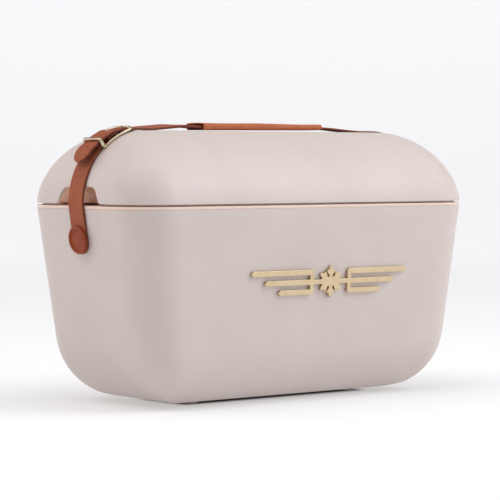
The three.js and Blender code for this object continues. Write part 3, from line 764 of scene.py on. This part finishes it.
def buildShortStrap():
    # up from the knob, pared thin, round the buckle's bar and back over itself
    start = strap["knobAt"] - strap["below"]
    bar = buckle["bar"]
    distance = stationsFrom(start, bar - 1, strap["halfWidth"])
    thin = eased([(bar - 20, strap["thick"]), (bar - 8, 0.9)])
    lift = strap["gap"] + thin(distance) / 2
    flat = np.stack([distance, lift], 1)
    turn = arc((bar, buckle["barLift"]), buckle["barRadius"] + 0.55, -80, 100, 14)
    back = np.stack([np.linspace(bar - 1.5, bar - 9, 6), np.linspace(4.0, 3.3, 6)], 1)
    line = np.concatenate([flat, turn, back])
    half = np.full(len(line), strap["halfWidth"])
    half[:len(distance)] = roundEnd(distance, start, strap["halfWidth"])
    thick = np.full(len(line), 0.9)
    thick[:len(distance)] = thin(distance)
    piece = strapAlong("short_strap", line[:, 0], line[:, 1], half, thick, -1, body="left_strap")
    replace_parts(piece, "strap_left")


buildLongStrapLeft()
buildLongStrapRight()
buildShortStrap()
print("strap made")


def turnedPiece(name, profile, material, body, at, out):
    # a profile of radius and height, spun round an axis at right angles to y
    angle = np.linspace(0, 2 * math.pi, 73)
    first = np.cross(out, (0, 1, 0))
    second = np.cross(out, first)
    ring = np.cos(angle)[:, None] * first + np.sin(angle)[:, None] * second
    grid = np.array(at) + profile[:, None, :1] * ring + profile[:, None, 1:] * out
    uv = np.stack([profile[:, :1] * np.cos(angle), profile[:, :1] * np.sin(angle)], -1)
    return addPiece(name, grid, material, body, uv, 50)


knob = dict(head=13.5, headThick=3.4, standoff=3.1, rim=1.7, edge=1.0, stem=4.0, sunk=3.0)
foot = dict(edge=1.2, overlap=0.25, grooveDeep=0.4)


def buildKnob(side):
    # a button with a raised rolled rim and a faint dome inside it
    radius, low, rim, edge = knob["head"], knob["standoff"], knob["rim"], knob["edge"]
    top = low + knob["headThick"]
    r = np.linspace(radius - 4.4, 0, 14)
    profile = np.concatenate([
        [(0, -knob["sunk"]), (knob["stem"], -knob["sunk"]), (knob["stem"], low), (radius - edge, low)],
        arc((radius - edge, low + edge), edge, -90, 0, 6),
        arc((radius - rim, top - rim), rim, 0, 130, 14),
        arc((radius - rim - 2.1, top - 0.35), 1.0, 310, 270, 6),
        np.stack([r, top - 1.35 + 0.75 * (1 - (r / (radius - 4)) ** 2)], 1),
    ])
    lean = math.atan(tub["endTaper"])
    x = tub["halfLength"] - (tub["rim"] - strap["knobHeight"]) * tub["endTaper"]
    name = "right" if side > 0 else "left"
    out = (side * math.cos(lean), 0, -math.sin(lean))
    at = (side * x, 0, strap["knobHeight"])
    piece = turnedPiece("strap_knob_" + name, profile, knobLeather, "tub", at, out)
    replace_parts(piece, "knob_" + name)


def buildFoot(node):
    # a soft-edged pad with a groove round its sole
    low, high = mmBox(node)
    radius, tall = (high[0] - low[0]) / 2, high[2] + foot["overlap"]
    centre = (low + high) / 2 * (1, 1, 0)
    edge, deep = foot["edge"], foot["grooveDeep"]
    profile = np.concatenate([
        [(0, 0), (radius * 0.4, 0), (radius * 0.45, deep), (radius * 0.55, deep), (radius * 0.6, 0)],
        arc((radius - edge, edge), edge, -90, 0, 6),
        [(radius, tall), (0, tall)],
    ])
    piece = turnedPiece("pad_" + node, profile, paleRubber, "tub", centre, (0, 0, 1))
    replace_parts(piece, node)


for end in (-1, 1):
    buildKnob(end)
for row in ("front", "rear"):
    for end in ("left", "right"):
        buildFoot(f"foot_{row}_{end}")
print("knobs and feet made")


def smoothLoop(points, rounds, closed=True):
    # corner cutting: each round replaces a corner with two points a quarter of the way along its sides
    points = np.array(points, float)
    for _ in range(rounds):
        after = np.roll(points, -1, 0) if closed else points[1:]
        before = points if closed else points[:-1]
        cut = np.stack([before * 0.75 + after * 0.25, before * 0.25 + after * 0.75], 1).reshape(-1, 3)
        points = cut if closed else np.concatenate([points[:1], cut, points[-1:]])
    return points


def sweep(name, path, wide, tall, power, up, material, body, closed=True, taper=None):
    # a superellipse section carried along a path; up sets which way its height points
    if closed:
        along = np.roll(path, -1, 0) - np.roll(path, 1, 0)
        along /= np.linalg.norm(along, axis=1)[:, None]
        path, up, along = (np.concatenate([line, line[:1]]) for line in (path, up, along))
    else:
        along = wayAlong(path)
    aside = np.cross(up, along)
    aside /= np.linalg.norm(aside, axis=1)[:, None]
    over = np.cross(along, aside)
    angle = np.linspace(0, 2 * math.pi, 25)
    turn = np.stack([np.cos(angle), np.sin(angle)])
    v, w = (np.sign(turn) * np.abs(turn) ** (2 / power) * [[wide / 2], [tall / 2]])[..., None]
    size = np.ones(len(path)) if taper is None else taper
    grid = path[:, None] + size[:, None, None] * (aside[:, None] * v + over[:, None] * w)
    if not closed:
        grid = np.concatenate([path[:1, None] + 0 * grid[:1], grid, path[-1:, None] + 0 * grid[-1:]])
    return addPiece(name, grid, material, body, smoothAngle=60)


def bentLine(points):  # points of distance, y and lift, and the lid's way up at each
    points = np.array(points, float)
    place = np.array([onPath(d, h, y, -1) for d, y, h in points])
    higher = np.array([onPath(d, h + 1, y, -1) for d, y, h in points])
    return place, higher - place


def buildBuckle():
    # half of the frame, from the middle of the lower end bar to the middle of the upper one, and its mirror
    bar, half, rail = buckle["bar"], buckle["half"], buckle["railAt"]
    low, high = buckle["archLow"], buckle["archHigh"]
    loop = [
        (bar - half, 0, low), (bar - half, rail - 2.6, low), (bar - half - 0.2, rail - 0.9, low - 0.9),
        (bar - half - 0.7, rail - 0.2, low - 4), (bar - half - 1.6, rail, 2.4), (bar - half - 0.9, rail, 0.9),
        (bar - half + 2.4, rail, 1.5), (bar, rail, 1.6),
        (bar + half - 3.4, rail, 2.4), (bar + half - 1.0, rail - 0.1, 2.9),
        (bar + half, rail - 1.4, high - 0.5), (bar + half, rail - 3.6, high), (bar + half, 0, high),
    ]
    ring = np.array(loop + [(d, -y, h) for d, y, h in loop[-2:0:-1]])
    dense = []
    for point, after in zip(ring, np.roll(ring, -1, 0)):
        steps = max(1, int(np.linalg.norm(after - point) // 4))
        dense += [point + (after - point) * k / steps for k in range(steps)]
    path, up = bentLine(smoothLoop(dense, 2))
    piece = sweep("buckle_ring", path, 3.1, 2.7, 3.0, up, paleGold, "left_strap")
    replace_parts(piece, "buckle_frame")


def buildBar():
    y = np.linspace(-buckle["railAt"], buckle["railAt"], 12)
    path, up = bentLine([(buckle["bar"], v, buckle["barLift"]) for v in y])
    piece = sweep("centre_bar", path, 2.0, 2.0, 2.0, up, paleGold, "left_strap", closed=False)
    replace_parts(piece, "buckle_bar")


def buildProng():
    # an eye round the bar, then a finger that tapers to a round tip on the upper end bar
    bar, lift = buckle["bar"], buckle["barLift"]
    eye = arc((bar, lift), buckle["eye"], 60, -200, 26)
    rise = [(bar - 1.7, lift + 2.4), (bar - 1.0, lift + 4.2), (bar + 0.8, 7.7)]
    finger = eased([(bar, 8.1), (bar + 9, 6.5), (bar + 17, 6.2)])
    at = np.linspace(bar + 3, bar + 17.4, 10)
    line = np.concatenate([eye, rise, np.stack([at, finger(at)], 1)])
    line = smoothLoop(np.insert(line, 1, 0, axis=1), 2, closed=False)
    path, up = bentLine(line)
    width = np.interp(line[:, 0], [bar + 2, bar + 14, bar + 16.6, bar + 17.4], [1, 0.8, 0.6, 0.1])
    piece = sweep(
        "buckle_tongue", path, 2.8, 1.5, 2.6, up, paleGold, "prong", closed=False, taper=width,
    )
    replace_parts(piece, "buckle_prong")


buildBuckle()
buildBar()
buildProng()
print("buckle made")

grip = dict(wall=1.3, soft=2.4, end=0.6, crown=0.45, under=0.7, over=0.5, bow=0.25, fillerShort=12.0)


def tubeSection(half, low, high, soft, crown, count=9):
    # a flattened loop with round edges, its top slightly crowned
    flat = half - soft
    across = np.linspace(-flat, flat, 15)[1:-1]
    loop = np.concatenate([
        arc((flat, high - soft), soft, 90, 0, count), arc((flat, low + soft), soft, 0, -90, count),
        np.stack([-across, low + 0 * across], 1),
        arc((-flat, low + soft), soft, 270, 180, count), arc((-flat, high - soft), soft, 180, 90, count),
        np.stack([across, high + 0 * across], 1), [(flat, high)],
    ])
    loop[:, 1] += crown * (1 - (loop[:, 0] / half) ** 2) * (loop[:, 1] > (low + high) / 2)
    return loop


def buildGrip():
    # the outside from left to right, round the end of the leather, back along the inside and round again
    low, high = mmBox("grip_sleeve")
    left, right, end, thick = low[0], high[0], grip["end"], grip["wall"]
    turn = np.linspace(0, math.pi, 7)
    past, inwards = end * np.sin(turn), thick / 2 * (1 - np.cos(turn))
    route = np.concatenate([
        [(x, 0) for x in np.linspace(left + end, right - end, 60)],
        np.stack([right - end + past, inwards], 1)[1:],
        [(x, thick) for x in np.linspace(right - end, left + end, 20)[1:-1]],
        np.stack([left + end - past, thick - inwards], 1),
    ])
    grid, uv = [], []
    for x, inset in route:
        share = (x - left) / (right - left)
        drop = 0.3 * share + grip["bow"] * math.sin(share * math.pi * 3)  # a hand-worn bow along its length
        bottom, top = low[2] + grip["under"] + share + inset, high[2] - grip["over"] - drop - inset
        section = tubeSection(high[1] - inset, bottom, top, grip["soft"] - inset * 0.5, grip["crown"])
        grid.append(np.insert(section, 0, x, axis=1))
        uv.append(np.stack([np.full(len(section), x), runLength(section)], 1))
    piece = addPiece("grip_wrap", np.array(grid), gripLeather, "lid", np.array(uv))
    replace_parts(piece, "grip_sleeve")


def buildFiller():
    # a felt pad that stops short of the wrap's open ends; its near-black brown is painted shade seen inside
    # them
    low, high = mmBox("grip_core")
    short, soft = grip["fillerShort"], 0.9
    turn = np.linspace(0, math.pi / 2, 6)
    first = np.stack([low[0] + short + soft * (1 - np.cos(turn)), soft * (1 - np.sin(turn))], 1)
    last = (first * (-1, 1) + (low[0] + high[0], 0))[::-1]
    middle = [(x, 0) for x in np.linspace(low[0] + short + 4, high[0] - short - 4, 12)]
    grid = []
    for x, inset in np.concatenate([first, middle, last]):
        section = tubeSection(high[1] - 1 - inset, low[2] + 0.1 + inset, high[2] - 0.6 - inset, soft, 0.2, 5)
        grid.append(np.insert(section, 0, x, axis=1))
    start, stop = [np.mean(ring[:-1], axis=0) + 0 * ring for ring in (grid[0], grid[-1])]
    piece = addPiece("grip_filler", np.array([start, *grid, stop]), paintedShadeFelt, "lid")
    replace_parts(piece, "grip_core")


buildGrip()
buildFiller()
print("grip made")


def bevelledCopy(node, name, material, body, width):
    # the node's own solid, welded, its flat faces rejoined, with a small bevel on every edge
    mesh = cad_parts[node].data.copy()
    mesh.name = name
    work = bmesh.new()
    work.from_mesh(mesh)
    bmesh.ops.remove_doubles(work, verts=work.verts, dist=1e-6)
    bmesh.ops.dissolve_limit(work, angle_limit=math.radians(1), verts=work.verts, edges=work.edges)
    work.to_mesh(mesh)
    work.free()
    piece = bpy.data.objects.new(name, mesh)
    bevel = piece.modifiers.new("soft edges", "BEVEL")
    bevel.width, bevel.segments, bevel.limit_method = width * millimetre, 3, "ANGLE"
    finishPiece(piece, material, body, 35)
    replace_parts(piece, node)


bevelledCopy("front_ornament", "snow_ornament", softGold, "tub", 0.9)

hidden = dict(
    body_insulation=whiteFoam, lid_insulation=whiteFoam,
    knob_plate_left=zincSteel, knob_plate_right=zincSteel,
    knob_screw_left=zincSteel, knob_screw_right=zincSteel,
)
for node, material in hidden.items():
    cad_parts[node].data.materials.clear()
    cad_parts[node].data.materials.append(material)
print("ornament and inner parts finished")


studio = dict(flat=3900.0, rise=800.0, wallTop=2200.0, glow=0.6, flatX=0.107, flatY=0.027, round=0.017)


def buildStudio():
    # a pale bowl: a flat floor that curves up into a wall all round
    flat, rise = studio["flat"], studio["rise"]
    profile = np.concatenate([
        [(0, 0), (flat * 0.5, 0)],
        arc((flat, rise), rise, -90, 0, 24),
        [(flat + rise, rise + 300), (flat + rise, studio["wallTop"])],
    ])
    angle = np.linspace(0, 2 * math.pi, 97)
    radius, height = profile[:, :1], profile[:, 1:] + 0 * angle
    mesh = gridMesh("studio", np.stack([radius * np.cos(angle), radius * np.sin(angle), height], -1))
    bowl = bpy.data.objects.new("studio", mesh)
    bpy.context.scene.collection.objects.link(bowl)
    mesh.shade_smooth()
    paint = Paint("studio white", 0.9)
    paint.shader.inputs["Base Color"].default_value = (0.5, 0.5, 0.503, 1)
    paint.shader.inputs["Emission Strength"].default_value = studio["glow"]
    # it glows, but not under the flat of the chest, which paints a dark contact shadow on the floor there,
    # and more dimly near the chest, a painted floor shadow round it; less high on the wall, and less behind
    # the camera
    x, y, z = [paint.axis(paint.place(), name) for name in "XYZ"]
    pastX = (x.math("ABSOLUTE") - studio["flatX"]).math("MAXIMUM", 0)
    pastY = (y.math("ABSOLUTE") - studio["flatY"]).math("MAXIMUM", 0)
    away = (pastX * pastX + pastY * pastY).math("SQRT")
    # painted floor shadow: the glow's colour is dimmer close to the chest and full far off
    paintedShadowGlow = paint.mix(away.between(0.0, 0.3), (0.6, 0.6, 0.6, 1), (0.76, 0.76, 0.765, 1))
    paintedShadowGlow = paint.mix(away.between(0.5, 3.6), paintedShadowGlow, (0.97, 0.975, 0.995, 1))
    behindCamera = (x * -0.63 + y * -0.77).between(1.5, 3.2)
    # painted contact shadow: no glow over the chest's flat footprint, rising over a short soft edge
    lit = away.between(0.0, studio["round"]) - z.between(1.0, 1.7) * 0.75 - behindCamera * 0.6
    paint.feed("Emission Color", paint.mix(lit, (0, 0, 0, 1), paintedShadowGlow))
    mesh.materials.append(paint.material)


def areaLight(name, place, aim, size, power, colour):
    lamp = bpy.data.lights.new(name, "AREA")
    lamp.shape, lamp.size, lamp.size_y = "RECTANGLE", size[0], size[1]
    lamp.energy, lamp.color = power, colour
    light = bpy.data.objects.new(name, lamp)
    light.location = place
    direction = np.array(aim, float) - np.array(place)
    light.rotation_euler = Vector(direction).to_track_quat("-Z", "Y").to_euler()
    bpy.context.scene.collection.objects.link(light)


def buildLights():
    world = bpy.data.worlds.new("studio air")
    world.use_nodes = True
    world.node_tree.nodes["Background"].inputs["Color"].default_value = (1, 1, 1, 1)
    world.node_tree.nodes["Background"].inputs["Strength"].default_value = 0.31
    bpy.context.scene.world = world
    areaLight("right softbox", (1.6, -1.7, 1.3), (0, 0, 0.12), (1.6, 1.4), 12.5, (0.93, 0.97, 1))
    areaLight("high softbox", (1.3, -1.3, 1.96), (0, 0, 0.12), (1.6, 1.6), 25.5, (0.93, 0.965, 1))
    areaLight("rear softbox", (-1.26, 1.51, 1.5), (0, 0, 0.12), (1.6, 1.6), 10.5, (1, 0.95, 0.91))
    areaLight("left softbox", (-1.7, 0.1, 2.2), (0, 0, 0.12), (1.2, 1.2), 14, (1, 0.96, 0.93))
    areaLight("top softbox", (-0.3, -0.3, 2.6), (0, 0, 0.1), (1.8, 1.8), 19, (1, 0.98, 0.96))


buildStudio()
buildLights()
bpy.context.scene.view_settings.view_transform = "Standard"
print("studio made")
